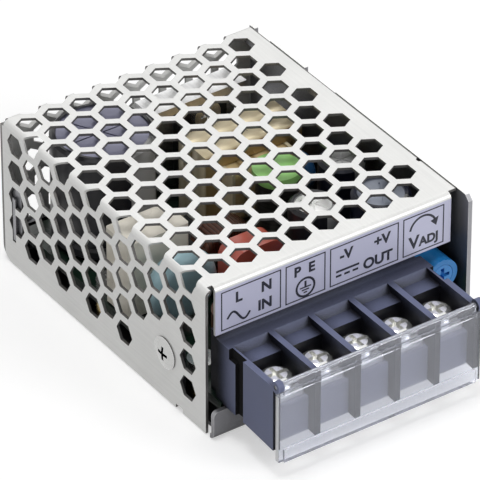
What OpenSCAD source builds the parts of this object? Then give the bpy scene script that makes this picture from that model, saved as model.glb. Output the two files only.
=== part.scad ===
// Enclosed switching power supply: a folded chassis under a folded, perforated cover,
// with a five-pole screw terminal block, its hinged clear cover and a populated board.
// X runs across the case, Y from the terminals to the back, Z up.
// The origin is the centre of the case's underside.

/* [Case] */
// Width of the case over its two side faces
case_w = 51; // [51:0.5:60]
// Length of the case from the front lip to the back face
case_l = 62.5; // [62.5:0.5:80]
// Height of the case
case_h = 28; // [28:0.5:34]
// Thickness of the chassis's sheet
sheet_t = 0.8; // [0.6:0.1:0.9]
// Thickness of the cover's sheet
cover_t = 0.5; // [0.4:0.1:0.7]
// Outer radius of the cover's bends
bend_r = 1; // [0.9:0.1:1.5]
// Outer radius of the chassis's bends
floor_bend_r = 1.2; // [1:0.1:1.4]
// Clearance between cover and chassis
case_gap = 0.15; // [0.1:0.05:0.2]
// Distance of the label flange behind the front lip
flange_set_back = 2.3; // [2:0.1:3]
// Gap between the terminal block and the label flange
flange_gap = 1.1; // [0.8:0.1:1.5]
// Distance of the cover's side edge in front of the label flange
side_lead = 0.1; // [0:0.05:0.9]
// Height of the chassis's front lip
lip_h = 5.4; // [5:0.1:6.2]
// Height of the chassis's rear lip
rear_lip_h = 6; // [4:0.5:8]
// Radius of the cover's lower back corner
corner_r = 2.7; // [1:0.1:4]

/* [Mesh] */
// Width of a hexagonal hole across its flats
hex_af = 4; // [3:0.1:4.4]
// Distance between neighbouring holes
hex_pitch = 5.33; // [5.2:0.01:5.8]
// Distance from the front lip to the first row of holes
first_row = 7.3; // [7:0.1:8]
// Radius of the plain zone round the cover's screw
plain_r = 6.2; // [4:0.1:6.5]
// Distance of the holes on the left bend below the bend's middle
mesh_shift = 0.2; // [0:0.05:0.4]

/* [Mounting] */
// Radius of a mounting hole
mount_hole_r = 1.5; // [1.2:0.1:2]
// Distance between the mounting holes of a pair
mount_spacing = 38; // [30:0.5:44]
// Height of the side mounting holes
side_mount_z = 14; // [12:0.5:16]
// Wall round a drawn mounting hole
collar_t = 0.8; // [0.5:0.1:1]
// Height of a drawn mounting hole, with the sheet
collar_h = 2; // [1.5:0.1:2.2]
// Radius of the cover screw's shank
cover_screw_r = 1.4; // [1.2:0.1:1.5]
// Radius of the cover screw's head
cover_head_r = 2.9; // [2.5:0.1:3.2]
// Height of the cover screw's head
cover_head_h = 0.6; // [0.4:0.1:0.9]
// Height of the cover screw above the underside
cover_screw_z = 9.3; // [8:0.1:10]
// Distance of the cover screw behind the front lip
cover_screw_y = 13.8; // [12:0.1:15]

/* [Board] */
// Thickness of the circuit board
board_t = 1.6; // [1:0.1:2]
// Height of the standoffs under the board
standoff_h = 3.4; // [3:0.1:3.5]
// Radius of a standoff
standoff_r = 2.5; // [2.2:0.1:3]
// Gap between the board and the chassis's right wall
board_gap = 0.6; // [0.3:0.1:0.8]
// Gap between the board and the chassis's left tabs
tab_gap = 0.9; // [0.5:0.1:1]
// Gap between the board and the chassis's front lip
lip_gap = 0.45; // [0.3:0.05:0.8]
// Gap between the board and the chassis's rear lip
rear_gap = 0.6; // [0.3:0.05:0.8]
// Radius of a board screw's shank
board_screw_r = 1.25; // [1:0.05:1.4]
// Thickness of the insulating sheet
insulator_t = 0.3; // [0.2:0.05:0.4]
// Radius of a component lead
lead_r = 0.35; // [0.3:0.05:0.45]

/* [Terminal block] */
// Number of poles
poles = 5; // [3:1:5]
// Width kept for the trimmer and the lamp, between the block and the right face
trimmer_bay = 8.1; // [8:0.1:10]
// Thickness of a partition
partition_t = 1.1; // [0.9:0.05:1.3]
// Height of the block's top above the underside of the case
block_top = 17.5; // [16.8:0.1:18]
// Reach of the partitions in front of the front lip
partition_reach = 12.9; // [12.7:0.1:14]
// Length of the block behind the front lip
block_inside = 5.8; // [5:0.1:6]
// Distance from the case's left face to the block
block_inset = 2.6; // [2.2:0.1:3]
// Drop of the deck below the partitions' tops
deck_drop = 1.25; // [0.8:0.05:1.6]
// Height of the terminal plates' top
plate_top = 12; // [11.6:0.1:12.2]
// Thickness of a terminal plate
plate_t = 1; // [0.8:0.1:1.2]
// Gap between a clamp washer and the wall behind it
clamp_back_gap = 0.1; // [0.1:0.05:0.3]
// Radius of a terminal screw's shank
screw_r = 1.7; // [1.5:0.05:1.8]
// Distance of a terminal screw's head from the edge of its clamp washer
head_inset = 0.25; // [0.1:0.05:0.5]
// Height of a terminal screw's head
screw_head_h = 2.3; // [2:0.1:2.4]
// Length of a terminal screw's shank
screw_l = 5.2; // [5:0.1:6]
// Gap between a clamp washer and the partition beside it
clamp_side_gap = 0.27; // [0.2:0.01:0.4]
// Thickness of a clamp washer
clamp_t = 0.7; // [0.5:0.05:0.8]
// Running clearance of the screws, all round
screw_gap = 0.08; // [0.05:0.01:0.1]

/* [Clear cover] */
// Thickness of the clear cover
clear_t = 0.9; // [0.8:0.05:1]
// Length of the clear cover below its hinge
clear_l = 14.8; // [14:0.1:15]
// Height of the hinge above the block's top
hinge_lift = 0.3; // [0.25:0.05:0.5]
// Radius of the bead along the hinge
bead_r = 0.55; // [0.5:0.05:0.6]
// Radius of a hinge pin
pin_r = 0.4; // [0.35:0.05:0.45]
// Running clearance of the hinge pins
pin_gap = 0.05; // [0.03:0.01:0.08]
// Radius of a hinge ear
ear_r = 1.05; // [0.95:0.05:1.1]
// Gap between the clear cover and the block
clear_gap = 0.15; // [0.1:0.05:0.2]

/* [Trimmer] */
// Radius of the trimmer's body
trimmer_r = 3; // [2.7:0.05:3]
// Length of the trimmer's body
trimmer_l = 5; // [4:0.1:5.5]
// Height of the trimmer's axis
trimmer_z = 13.2; // [12.5:0.1:14]
// Radius of the trimmer's rotor
rotor_r = 2; // [1.8:0.05:2.2]
// Running clearance round the rotor
rotor_gap = 0.08; // [0.05:0.01:0.1]

/* [Hidden] */
$fn = 64;

// The case's planes
left = -case_w / 2;
right = case_w / 2;
front = -case_l / 2;
back = case_l / 2;
flange_y = front + flange_set_back;
side_front = flange_y - side_lead;
flange_bottom = block_top + flange_gap;
flange_relief = 1;
flange_left = left + bend_r + flange_relief;
flange_right = right - 2.6;
cover_right = right - sheet_t - case_gap;
inner_left = left + cover_t + case_gap;
inner_back = back - cover_t - case_gap;
cover_axis_x = left + bend_r;
cover_axis_z = case_h - bend_r;
back_axis_y = back - bend_r;

// The mesh: rows run along Y, and every second row is moved half a pitch towards the bend
hex_r = hex_af / sqrt(3);
row_pitch = hex_pitch * sqrt(3) / 2;
top_rows = floor((case_l - bend_r - first_row) / row_pitch) + 1;
bend_mid_r = bend_r - cover_t / 2;
bend_arc_l = PI / 2 * bend_mid_r;
mesh_columns = floor(case_w / hex_pitch) + 1;
side_columns = floor(case_h / hex_pitch) + 1;
back_rows = 4;
mesh_edge = 1.4;
side_mesh_foot = 3;
screw_y = front + cover_screw_y;
plain_offset = [1.8, 0.7];
function row_y(j) = front + first_row + j * row_pitch;
// Distance of a column from the holes on the left bend, along the sheet
function column_u(j, k) = (k + (j % 2) / 2) * hex_pitch;
// Column positions on the top (across) and on the side (up)
function top_x(j, k) = cover_axis_x + column_u(j, k) - bend_arc_l / 2 - mesh_shift;
function side_z(j, k) = cover_axis_z - column_u(j, k) + bend_arc_l / 2 - mesh_shift;
// A point past the start of a bend, seen along the bend's axis, as [outward, up]
function bent(d) = d < 0 ? [d, bend_r]
    : d > bend_arc_l ? [bend_r, bend_arc_l - d]
    : bend_r * [sin(d / bend_mid_r * 180 / PI), cos(d / bend_mid_r * 180 / PI)];

// The board's planes
board_bottom = sheet_t + standoff_h;
board_top = board_bottom + board_t;
board_left = inner_left + sheet_t + tab_gap;
board_right = right - sheet_t - board_gap;
board_front = front + sheet_t + lip_gap;
board_back = inner_back - sheet_t - rear_gap;

// The populated board was laid out on a board of this width and length, with this room above
// it. Every part's place and size below is written on that layout and fitted to the case.
layout = [47.25, 59.2, 21.7];
board_screw_spots = [[3.2, 10.2], [3.2, 37], [44.05, 19.1], [44.05, 56]];
fit_x = (board_right - board_left) / layout[0];
fit_y = (board_back - board_front) / layout[1];
fit_z = (case_h - cover_t - board_top) / layout[2];
fit_r = min(fit_x, fit_y);
function spot(p) = [board_left + fit_x * p[0], board_front + fit_y * p[1]];
function fitted(size) = [fit_x * size[0], fit_y * size[1], fit_z * size[2]];
board_screws_at = [for (p = board_screw_spots) spot(p)];

// The terminal block's planes
block_left = left + block_inset;
block_w = case_w - block_inset - trimmer_bay;
pole_pitch = (block_w - partition_t) / poles;
block_right = block_left + block_w;
block_back = front + block_inside;
partition_front = front - partition_reach;
well_w = pole_pitch - partition_t;
well_back = front - 4.1;
deck_front = front - 0.2;
deck_ramp = 1;
deck_z = block_top - deck_drop;
ledge_front = front - 10.2;
ledge_t = 1.2;
clamp_w = well_w - 2 * clamp_side_gap;
screw_head_r = clamp_w / 2 - head_inset;
block_foot = lip_h + case_gap;
screw_at_y = well_back - clamp_back_gap - clamp_w / 2;
plate_w = clamp_w;
plate_gap = 0.05;
plate_leg_y = block_back - 3;
cut = 0.01;
function pole_x(k) = block_left + partition_t / 2 + (k + 0.5) * pole_pitch;

// The hinge of the clear cover
hinge_y = partition_front - clear_gap - clear_t / 2;
hinge_z = block_top + hinge_lift;
clear_left = block_left + partition_t + clear_gap;
clear_right = block_right - partition_t - clear_gap;

// The trimmer and the pilot lamp stand beside the block
trimmer_gap = 0.3;
trimmer_x = block_right + trimmer_gap + trimmer_r;
trimmer_front = board_front;
rotor_l = 1.6;

// ---------- shared shapes ----------

// Extrudes an outline drawn in X and Z, or Y and Z, or X and Y
module along_y(y0, y1) translate([0, y1, 0]) rotate([90, 0, 0]) linear_extrude(y1 - y0) children();
module along_x(x0, x1) translate([x0, 0, 0]) rotate([90, 0, 90]) linear_extrude(x1 - x0) children();
module along_z(z0, z1) translate([0, 0, z0]) linear_extrude(z1 - z0) children();

module rect(x0, x1, y0, y1) translate([x0, y0]) square([x1 - x0, y1 - y0]);

module bar(x0, x1, y0, y1, z0, z1) along_z(z0, z1) rect(x0, x1, y0, y1);

// A rectangle with round corners
module rounded(w, l, r) {
    square([w - 2 * r, l], center = true);
    square([w, l - 2 * r], center = true);
    for (x = [-1, 1], y = [-1, 1]) translate([x * (w / 2 - r), y * (l / 2 - r)]) circle(r);
}

// A quarter ring: the section of a bend
module quarter(r, t) difference() {
    intersection() {
        circle(r);
        square(r);
    }
    circle(r - t);
}

module hexagon() rotate(30) circle(hex_r, $fn = 6);

// A pair of leads standing on the board, at plus and minus p, with a height
module leads(p, h) for (side = [-1, 1]) translate([side * fit_r * p[0], side * fit_r * p[1], 0])
    cylinder(r = lead_r, h = h, $fn = 24);

// The place of a part on the board
module at_spot(p) translate([spot(p)[0], spot(p)[1], board_top]) children();

// A cross recess, cut down from z = 0
module cross_recess(size, width, depth) for (a = [0, 90]) rotate(a)
    translate([-size / 2, -width / 2, -depth]) cube([size, width, depth + 1]);

// A small radial disc with a round edge, standing across Y
module disc(r, t) rotate([90, 0, 0]) rotate_extrude() intersection() {
    union() {
        rect(0, r - t / 2, -t / 2, t / 2);
        translate([r - t / 2, 0]) circle(t / 2, $fn = 32);
    }
    rect(0, r, -t / 2, t / 2);
}

// ---------- case ----------

// Holes of the perforated top
module top_mesh() for (j = [0 : top_rows - 1], k = [(j % 2) == 0 ? 1 : 0 : mesh_columns])
    if (top_x(j, k) + hex_af / 2 < cover_right - mesh_edge)
        translate([top_x(j, k), row_y(j)]) hexagon();

// Holes of the perforated left side, drawn in Y and Z
module side_mesh() for (j = [0 : top_rows - 1], k = [(j % 2) == 0 ? 1 : 0 : side_columns])
    if (side_z(j, k) - hex_af / 2 > side_mesh_foot
            && norm([row_y(j), side_z(j, k)] - [screw_y, cover_screw_z] - plain_offset) > plain_r)
        translate([row_y(j), side_z(j, k)]) rotate(90) hexagon();

// Holes of the perforated back, drawn in X and Z
module back_mesh() for (j = [top_rows + 1 : top_rows + back_rows], k = [1 : mesh_columns])
    if (top_x(j, k) + hex_af / 2 < cover_right - mesh_edge)
        translate([top_x(j, k), back_row_z(j)]) hexagon();
function back_row_z(j) = cover_axis_z - (row_y(j) - back_axis_y - bend_arc_l);

// One hexagonal hole carried round a bend and cut across it, from its corners, given along
// the bend and along the sheet, and its centre's distance past the bend's start
bend_turn = 45;
module bent_hole(corners, d) {
    tangent = [cos(bend_turn), -sin(bend_turn)];
    rotate([-bend_turn, 0, 0]) translate([0, 0, -hex_af]) linear_extrude(hex_af + 2 * bend_r)
        polygon([for (c = corners) [c[0], bent(d + c[1]) * tangent]]);
}
hex_corners = [for (a = [0 : 60 : 300]) hex_r * [sin(a), cos(a)]];
hex_corners_turned = [for (a = [0 : 60 : 300]) hex_r * [cos(a), sin(a)]];

module bend_mesh() {
    for (j = [0 : 2 : top_rows - 2]) translate([cover_axis_x, row_y(j), cover_axis_z])
        rotate([0, 0, 90]) bent_hole(hex_corners_turned, bend_arc_l / 2 + mesh_shift);
    for (k = [1 : mesh_columns]) if (top_x(top_rows, k) + hex_af / 2 < cover_right - mesh_edge)
        translate([top_x(top_rows, k), back_axis_y, cover_axis_z])
            bent_hole(hex_corners, row_y(top_rows) - back_axis_y);
}

hook_y = back - 3.5;
hook_z = [5, 14];
hook_w = 1;
edge_notch_y = front + 13.3;
foot_notch_y = front + 9.8;

module mesh_cover() color("lightgray") difference() {
    union() {
        // top
        along_z(case_h - cover_t, case_h) difference() {
            rect(cover_axis_x, cover_right, flange_y + bend_r, back_axis_y);
            top_mesh();
            translate([cover_right, edge_notch_y]) circle(0.6, $fn = 24);
        }
        // left side, with a round lower back corner
        along_x(left, left + cover_t) difference() {
            union() {
                rect(side_front, back - corner_r, case_gap, cover_axis_z);
                rect(back - corner_r - 1, back, case_gap + corner_r, cover_axis_z);
                translate([back - corner_r, case_gap + corner_r]) circle(corner_r);
            }
            side_mesh();
            translate([screw_y, cover_screw_z]) circle(cover_screw_r + case_gap);
            rect(hook_y - hook_w / 2, hook_y + hook_w / 2, hook_z[0], hook_z[1]);
            rect(foot_notch_y - 1, foot_notch_y + 1, 0, 0.9);
        }
        along_y(side_front, back_axis_y) translate([cover_axis_x, cover_axis_z])
            mirror([1, 0]) quarter(bend_r, cover_t);
        // back
        along_y(back - cover_t, back) difference() {
            rect(inner_left, cover_right, floor_bend_r + case_gap, cover_axis_z);
            back_mesh();
        }
        along_x(cover_axis_x, cover_right) translate([back_axis_y, cover_axis_z])
            quarter(bend_r, cover_t);
        // label flange
        along_y(flange_y, flange_y + cover_t)
            rect(flange_left, flange_right, flange_bottom, cover_axis_z);
        along_x(flange_left, flange_right) translate([flange_y + bend_r, cover_axis_z])
            mirror([1, 0]) quarter(bend_r, cover_t);
    }
    bend_mesh();
}

lip_left = left + 0.1;
lip_corner_r = 0.9;
tab_x = inner_left;
tab_top = 13.4;
screw_tab = [screw_y - 3.8, screw_y + 4.7];
hook_tab = [hook_y - 1.5, inner_back - sheet_t];
ledge_tabs = [[front + 37.3, front + 46.3], [front + 56.3, front + 61]];
ledge_tab_w = 2;
ledge_z = case_h - cover_t - case_gap;
ledge_axis_z = ledge_z - floor_bend_r;

// A drawn mounting hole through the sheet, standing up from z = 0
module collar() cylinder(r = mount_hole_r + collar_t, h = collar_h);
module collar_bore() translate([0, 0, -1]) cylinder(r = mount_hole_r, h = collar_h + 2);

module at_floor_holes() for (y = [-1, 1]) translate([0, y * mount_spacing / 2, 0]) children();
module at_wall_holes() for (y = [-1, 1]) translate([right, y * mount_spacing / 2, side_mount_z])
    rotate([0, -90, 0]) children();

module chassis() color("silver") difference() {
    union() {
        // floor
        bar(tab_x + floor_bend_r, right - floor_bend_r, front + floor_bend_r,
            inner_back - floor_bend_r, 0, sheet_t);
        // front lip
        along_y(front, front + sheet_t) {
            rect(lip_left + lip_corner_r, right - sheet_t, floor_bend_r, lip_h);
            rect(lip_left, lip_left + lip_corner_r + 1, floor_bend_r, lip_h - lip_corner_r);
            translate([lip_left + lip_corner_r, lip_h - lip_corner_r]) circle(lip_corner_r);
        }
        along_x(lip_left, right - floor_bend_r) translate([front + floor_bend_r, floor_bend_r])
            mirror([1, 0]) mirror([0, 1]) quarter(floor_bend_r, sheet_t);
        // right wall with a cut front corner, and two tabs under the cover's edge
        along_x(right - sheet_t, right) difference() {
            polygon([[front, floor_bend_r], [back, floor_bend_r], [back, case_h],
                [front + 1, case_h], [front, case_h - 1]]);
            for (tab = ledge_tabs) rect(tab[0], tab[1], ledge_axis_z, case_h + 1);
        }
        along_y(front + floor_bend_r, back) translate([right - floor_bend_r, floor_bend_r])
            mirror([0, 1]) quarter(floor_bend_r, sheet_t);
        for (tab = ledge_tabs) {
            along_y(tab[0] + 0.2, tab[1] - 0.2)
                translate([right - floor_bend_r, ledge_axis_z]) quarter(floor_bend_r, sheet_t);
            along_y(tab[0] + 0.2, tab[1] - 0.2)
                rect(right - sheet_t, right, ledge_axis_z - 1, ledge_axis_z + cut);
            bar(right - floor_bend_r - ledge_tab_w, right - floor_bend_r, tab[0] + 0.2,
                tab[1] - 0.2, ledge_z - sheet_t, ledge_z);
        }
        // left tabs: the front one takes the cover's screw, the back one its hook
        for (tab = [[screw_tab, tab_top], [hook_tab, hook_z[1] + 1.5]]) {
            along_x(tab_x, tab_x + sheet_t) rect(tab[0][0], tab[0][1], floor_bend_r, tab[1]);
            along_y(tab[0][0], tab[0][1]) translate([tab_x + floor_bend_r, floor_bend_r])
                mirror([1, 0]) mirror([0, 1]) quarter(floor_bend_r, sheet_t);
        }
        bar(lip_left, tab_x + cut, hook_y - hook_w / 2 + 0.1, hook_y + hook_w / 2 - 0.1,
            hook_z[0] + 0.3, hook_z[1] - 0.3);
        // rear lip
        along_y(inner_back - sheet_t, inner_back)
            rect(tab_x + 3, right - 3, floor_bend_r, rear_lip_h);
        along_x(tab_x + 3, right - 3) translate([inner_back - floor_bend_r, floor_bend_r])
            mirror([0, 1]) quarter(floor_bend_r, sheet_t);
        at_floor_holes() collar();
        at_wall_holes() collar();
    }
    at_floor_holes() collar_bore();
    at_wall_holes() collar_bore();
    translate([tab_x - 1, screw_y, cover_screw_z]) rotate([0, 90, 0])
        cylinder(r = cover_screw_r + 0.05, h = sheet_t + 2);
}

cover_grip = cover_t + case_gap + sheet_t;
module cover_screw() color("gainsboro") translate([left, screw_y, cover_screw_z])
    rotate([0, -90, 0]) difference() {
        union() {
            intersection() {
                cylinder(r = cover_head_r, h = cover_head_h);
                translate([0, 0, cover_head_h - dome_r(cover_head_r, cover_head_h * 0.7)])
                    sphere(dome_r(cover_head_r, cover_head_h * 0.7), $fn = 96);
            }
            translate([0, 0, -cover_grip - 1.5])
                cylinder(r = cover_screw_r, h = cover_grip + 1.6);
        }
        translate([0, 0, cover_head_h]) cross_recess(2.6, 0.6, 0.8);
    }
// Radius of a dome of the given foot radius and rise
function dome_r(foot, rise) = (foot * foot + rise * rise) / (2 * rise);

// ---------- board ----------

module at_board_screws() for (p = board_screws_at) translate([p[0], p[1], 0]) children();

sheet_hole_gap = 0.4;
sheet_edge_gap = floor_bend_r + 0.3;
module insulating_sheet() color("dimgray") along_z(sheet_t, sheet_t + insulator_t) difference() {
    rect(tab_x + sheet_edge_gap, right - sheet_edge_gap, front + sheet_edge_gap,
        inner_back - sheet_edge_gap);
    // a notch in from the side for each standoff
    for (p = board_screws_at, side = [sign(p[0])]) {
        translate(p) circle(standoff_r + sheet_hole_gap);
        rect(min(p[0], side * right), max(p[0], side * right),
            p[1] - standoff_r - sheet_hole_gap, p[1] + standoff_r + sheet_hole_gap);
    }
    for (y = [-1, 1]) translate([0, y * mount_spacing / 2])
        circle(mount_hole_r + collar_t + sheet_hole_gap);
}

standoff_web = 0.8;
board_head = [1.2 + board_screw_r, 1.7];
module board_standoffs() color("goldenrod") at_board_screws() translate([0, 0, sheet_t])
    difference() {
        cylinder(r = standoff_r, h = standoff_h);
        translate([0, 0, standoff_web]) cylinder(r = board_screw_r + 0.05, h = standoff_h);
    }

module circuit_board() color("darkgreen") along_z(board_bottom, board_top) difference() {
    rect(board_left, board_right, board_front, board_back);
    for (p = board_screws_at) translate(p) circle(board_screw_r + 0.25);
}

module board_screws() color("silver") at_board_screws() translate([0, 0, board_top]) difference() {
    union() {
        cylinder(r = board_head[0], h = board_head[1]);
        translate([0, 0, -board_t - standoff_h + standoff_web + 0.4])
            cylinder(r = board_screw_r, h = board_t + standoff_h - standoff_web);
    }
    translate([0, 0, board_head[1]]) cross_recess(2.6, 0.5, 0.9);
}

// ---------- terminal block ----------

// The section of a pole, in Y and Z: deck, wall behind the well and the ledge under the plate
module pole_section() polygon([[block_back, board_top], [block_back, block_top],
    [deck_front, block_top], [deck_front - deck_ramp, deck_z], [well_back, deck_z],
    [well_back, plate_top - plate_t], [ledge_front, plate_top - plate_t],
    [ledge_front, plate_top - plate_t - ledge_t], [well_back, plate_top - plate_t - ledge_t - 0.6],
    [well_back, block_foot], [front + sheet_t + case_gap, block_foot],
    [front + sheet_t + case_gap, board_top]]);

partition_foot = 5;
module partition_section() polygon([[deck_front, block_top], [partition_front, block_top],
    [partition_front, partition_foot], [well_back, block_foot], [deck_front, block_foot]]);

// An ear on the end walls carries the clear cover's pin
module ear_section() translate([hinge_y, hinge_z]) circle(ear_r);

// A bent groove in each end wall, open above and below, and the step behind it, as far in
// from the wall's face and behind the front lip
groove_depth = 0.7;
groove_front = well_back - 0.5;
groove_w = 2.2;
groove_l = 4;
groove_top_z = block_top - 1.9;
end_step = [0.9, 3.1];
module end_groove() {
    along_x(-groove_depth, 1) {
        rect(groove_front, groove_front + groove_l, groove_top_z, block_top + 1);
        rect(groove_front, groove_front + groove_w, 0, groove_top_z + cut);
    }
    along_x(-end_step[0], 1) rect(front + end_step[1], block_back + 1, 0, block_top + 1);
}

// The slot for a terminal plate and its leg, in Y and Z
module plate_slot() polygon([[well_back - 0.5, plate_top + plate_gap],
    [plate_leg_y + plate_t + plate_gap, plate_top + plate_gap],
    [plate_leg_y + plate_t + plate_gap, board_top - 1], [plate_leg_y - plate_gap, board_top - 1],
    [plate_leg_y - plate_gap, plate_top - plate_t], [well_back - 0.5, plate_top - plate_t]]);

module terminal_block() color("slategray") difference() {
    union() {
        along_x(block_left, block_right) pole_section();
        for (k = [0 : poles]) along_x(block_left + k * pole_pitch,
            block_left + k * pole_pitch + partition_t) partition_section();
        for (x = [block_left, block_right - partition_t]) along_x(x, x + partition_t)
            ear_section();
    }
    for (k = [0 : poles - 1]) translate([pole_x(k), 0, 0]) {
        along_x(-plate_w / 2 - plate_gap, plate_w / 2 + plate_gap) plate_slot();
        translate([0, screw_at_y, plate_top - plate_t - ledge_t - 3])
            cylinder(r = screw_r + 0.5, h = ledge_t + 4);
    }
    for (side = [0, 1]) translate([side == 0 ? block_left : block_right, 0, 0])
        mirror([1 - side, 0, 0]) end_groove();
    translate([block_left - 1, hinge_y, hinge_z]) rotate([0, 90, 0])
        cylinder(r = pin_r + pin_gap, h = block_w + 2, $fn = 48);
}

module terminal_plates() color("gold") for (k = [0 : poles - 1]) translate([pole_x(k), 0, 0])
    difference() {
        union() {
            bar(-plate_w / 2, plate_w / 2, ledge_front + 0.2, plate_leg_y + plate_t,
                plate_top - plate_t, plate_top);
            bar(-plate_w / 2, plate_w / 2, plate_leg_y, plate_leg_y + plate_t, board_top,
                plate_top - plate_t + cut);
        }
        translate([0, screw_at_y, plate_top - plate_t - 1])
            cylinder(r = screw_r + screw_gap, h = plate_t + 2);
    }

module clamp_washer(k) color("gainsboro") translate([pole_x(k), screw_at_y, plate_top])
    difference() {
        along_z(0, clamp_t) rounded(clamp_w, clamp_w, 0.5);
        translate([0, 0, -1]) cylinder(r = screw_r + screw_gap, h = clamp_t + 2);
    }

module terminal_screw(k) color("gainsboro")
    translate([pole_x(k), screw_at_y, plate_top + clamp_t]) difference() {
        union() {
            rotate_extrude() polygon([[0, 0], [screw_head_r, 0],
                [screw_head_r, screw_head_h * 0.6], [screw_head_r - 0.35, screw_head_h * 0.85],
                [screw_head_r - 1, screw_head_h], [0, screw_head_h]]);
            translate([0, 0, -screw_l]) cylinder(r = screw_r, h = screw_l + cut);
        }
        translate([0, 0, screw_head_h]) cross_recess(3.4, 0.8, 1.4);
        translate([-screw_head_r - 1, -0.4, screw_head_h - 0.8])
            cube([screw_head_r * 2 + 2, 0.8, 2]);
    }

rib_z = 2.5;
module terminal_cover() color("white", 0.4) {
    translate([clear_left, hinge_y, hinge_z]) rotate([0, 90, 0])
        cylinder(r = bead_r, h = clear_right - clear_left, $fn = 48);
    for (x = [block_left + 0.1, clear_right - cut]) translate([x, hinge_y, hinge_z])
        rotate([0, 90, 0]) cylinder(r = pin_r, h = partition_t + clear_gap - 0.1 + cut, $fn = 48);
    along_x(clear_left, clear_right) {
        rect(hinge_y - clear_t / 2, hinge_y + clear_t / 2, hinge_z - clear_l, hinge_z);
        rect(hinge_y - clear_t / 2 - 0.3, hinge_y, hinge_z - 1.7, hinge_z - 1);
        rect(hinge_y - clear_t / 2 - 0.4, hinge_y, hinge_z - clear_l,
            hinge_z - clear_l + rib_z);
    }
    // the plate widens to the block's full width below the ears
    along_x(block_left + 0.4, block_right - 0.2)
        rect(hinge_y - clear_t / 2, hinge_y + clear_t / 2, hinge_z - clear_l,
            hinge_z - ear_r - clear_gap);
}

// ---------- trimmer and lamp ----------

module trimmer_body() color("royalblue") {
    translate([trimmer_x, trimmer_front, trimmer_z]) rotate([-90, 0, 0]) difference() {
        cylinder(r = trimmer_r, h = trimmer_l);
        translate([0, 0, -1]) cylinder(r = rotor_r + rotor_gap, h = rotor_l + 1);
    }
    for (x = [-1, 1]) bar(trimmer_x + x * (trimmer_r - 0.7) - 0.3,
        trimmer_x + x * (trimmer_r - 0.7) + 0.3, trimmer_front + 2, trimmer_front + 3,
        board_top, trimmer_z - 1.5);
}

module trimmer_rotor() color("lightskyblue")
    translate([trimmer_x, trimmer_front, trimmer_z]) rotate([-90, 0, 0]) difference() {
        cylinder(r = rotor_r, h = rotor_l);
        rotate([180, 0, 0]) cross_recess(2.8, 0.7, 0.9);
    }

module pilot_lamp() color("limegreen") {
    translate([trimmer_x, trimmer_front + 1.5, board_top + 2.2]) rotate([-90, 0, 0]) {
        cylinder(r = 1.5, h = 2.6, $fn = 48);
        sphere(1.5, $fn = 48);
        translate([0, 0, 2.6]) cylinder(r = 1.9, h = 0.9, $fn = 48);
    }
    for (x = [-1, 1]) bar(trimmer_x + x * 1.27 - 0.25, trimmer_x + x * 1.27 + 0.25,
        trimmer_front + 4.3, trimmer_front + 4.8, board_top, board_top + 2.4);
}

// ---------- components ----------

// Cans, as place and as radius and height
bulk_at = [10.8, 50.4];
bulk_size = [8.9, 20.4];
output_at = [39.55, 11.5];
output_size = [5, 19];
filter_at = [42.05, 26.1];
filter_size = [4, 16.5];
auxiliary_at = [30.35, 17.6];
auxiliary_size = [4.2, 17];
can_lift = 0.3;
// An electrolytic can standing on the board, with a groove, a rim and a scored top
module can(p, size) at_spot(p) {
    r = size[0] * fit_r;
    h = size[1] * fit_z;
    translate([0, 0, can_lift]) difference() {
        rotate_extrude() polygon([[0, 0], [r - 0.5, 0], [r, 0.5], [r, 1.8], [r - 0.45, 2.3],
            [r, 2.8], [r, h - 0.5], [r - 0.5, h], [r - 1, h], [r - 1.1, h - 0.3], [0, h - 0.3]]);
        for (a = [0, 60, 120]) rotate(a)
            translate([-r * 0.6, -0.15, h - 0.6]) cube([r * 1.2, 0.3, 1]);
    }
    leads([size[0] * 0.45, 0], can_lift + cut);
}
module bulk_capacitor() color("slateblue") can(bulk_at, bulk_size);
module output_capacitor() color("darkslategray") can(output_at, output_size);
module filter_capacitor() color("darkslategray") can(filter_at, filter_size);
module auxiliary_capacitor() color("silver") can(auxiliary_at, auxiliary_size);

fuse_at = [10.3, 10.5];
fuse_size = [4.2, 7.5];
fuse_lift = 0.8;
fuse_lead = [2.5, 0];
module fuse() color("saddlebrown") at_spot(fuse_at) {
    translate([0, 0, fuse_lift]) cylinder(r = fuse_size[0] * fit_r, h = fuse_size[1] * fit_z);
    leads(fuse_lead, fuse_lift + 0.1);
}

// Dipped discs, as radius, thickness and height of the centre, on leads that leave their sides
varistor_at = [6.6, 21];
varistor_size = [6.5, 4, 8.6];
varistor_lead = [3.75, 0.9];
thermistor_at = [19, 10];
thermistor_size = [4, 3.4, 5.5];
thermistor_lead = [2.5, 0.7];
y_capacitor_size = [3.5, 2.6, 5];
y_capacitor_lead = [2, 0];
y_capacitor_1_at = [44.6, 41.2];
y_capacitor_2_at = [28, 10];
module dipped_disc(size, lead) {
    translate([0, 0, size[2] * fit_z]) disc(size[0] * fit_r, size[1] * fit_r);
    leads(lead, (size[2] - size[0] * 0.6) * fit_z);
}
module varistor() color("teal") at_spot(varistor_at) dipped_disc(varistor_size, varistor_lead);
module thermistor() color("darkolivegreen") at_spot(thermistor_at)
    dipped_disc(thermistor_size, thermistor_lead);
module y_capacitors() color("steelblue") {
    at_spot(y_capacitor_1_at) rotate(90) dipped_disc(y_capacitor_size, y_capacitor_lead);
    at_spot(y_capacitor_2_at) dipped_disc(y_capacitor_size, y_capacitor_lead);
}

// A box on two leads, as width, depth and height
x_capacitor_at = [6.3, 30.5];
x_capacitor_size = [12, 7, 14.7];
x_capacitor_lead = [5, 0];
module x_capacitor() color("wheat") at_spot(x_capacitor_at) {
    size = fitted(x_capacitor_size);
    translate([0, 0, can_lift]) linear_extrude(size[2]) rounded(size[0], size[1], 0.6);
    leads(x_capacitor_lead, can_lift + cut);
}

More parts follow.
